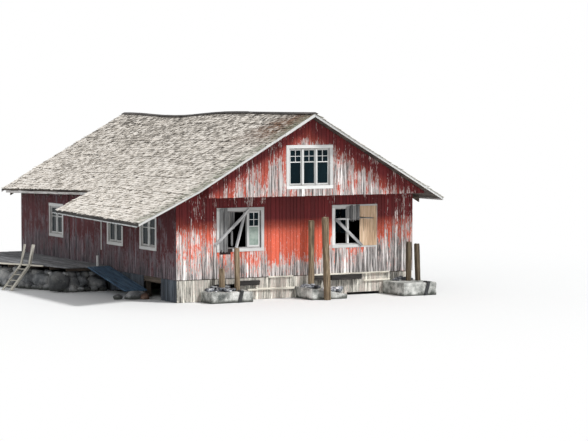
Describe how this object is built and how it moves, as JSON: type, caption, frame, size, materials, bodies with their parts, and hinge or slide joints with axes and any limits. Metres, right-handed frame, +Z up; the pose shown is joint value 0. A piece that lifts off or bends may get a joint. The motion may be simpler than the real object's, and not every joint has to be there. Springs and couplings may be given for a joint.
{
  "type": "boathouse",
  "caption": "Old timber boathouse over the water with a sagging shingled gable roof, a side canopy, a jettied front gable, boarded broken windows, mooring posts on piers and a plank deck.",
  "frame": {"origin": "under the middle of the whole object, on the level that its piles, piers and stones stand on", "axes": "+X to the right seen from the jettied front gable, +Y from the front gable to the back, +Z up"},
  "size_m": [13.385, 16.425, 6.4051],
  "materials": {
    "red_boards": "flaking red ochre paint on upright boards, worn to grey wood low down",
    "roof_shingles": "weathered split wood shingles, matt",
    "ridge_boards": "weathered dark boards, matt",
    "white_trim": "worn white oil paint, satin",
    "gutter_metal": "dull zinc-grey paint",
    "window_glass": "old clear sheet glass",
    "bare_timber": "rough sawn, unpainted",
    "grey_boards": "bare silvery grey boards with flakes of paint",
    "plywood": "raw sheet wood, weathered",
    "post_timber": "weathered, split along the grain",
    "concrete": "rough cast concrete, stained at the waterline",
    "stone": "rough natural boulders",
    "deck_planks": "weathered planks, matt"
  },
  "bodies": {
    "root": {"back_verge_board": "white_trim", "back_wall": "red_boards", "back_window_frames": "white_trim", "back_window_glass": "window_glass", "bollard": "white_trim", "canopy_fascia": "white_trim", "canopy_gutter": "gutter_metal", "canopy_rafters": "bare_timber", "canopy_roof": "roof_shingles", "canopy_verge_boards": "white_trim", "casement_glass": "window_glass", "deck_boards": "deck_planks", "deck_joists": "deck_planks", "eave_fascias": "white_trim", "fender_beams": "post_timber", "floor_bearers": "bare_timber", "floor_boards": "bare_timber", "front_skirt": "grey_boards", "front_wall": "red_boards", "front_window_frames": "white_trim", "gangway": "deck_planks", "gangway_stone": "stone", "ground_sills": "bare_timber", "ladder": "deck_planks", "left_casement": "white_trim", "left_pier": "concrete", "left_rafters": "bare_timber", "left_roof": "roof_shingles", "left_verge_board": "white_trim", "left_wall": "red_boards", "loft_floor": "bare_timber", "loft_joists": "bare_timber", "middle_pier": "concrete", "mooring_posts": "post_timber", "piles": "bare_timber", "plywood_panel": "plywood", "ridge_board": "bare_timber", "ridge_cap": "ridge_boards", "right_pier": "concrete", "right_rafters": "bare_timber", "right_roof": "roof_shingles", "right_verge_board": "white_trim", "right_wall": "red_boards", "side_skirts": "grey_boards", "side_window_frames": "white_trim", "side_window_glass": "window_glass", "stone_bank": "stone", "stone_footing": "stone", "tie_beams": "bare_timber", "upper_front_wall": "red_boards", "upper_window_frame": "white_trim", "upper_window_glass": "window_glass", "wall_strip": "white_trim", "window_boards": "grey_boards"}
  },
  "joints": []
}
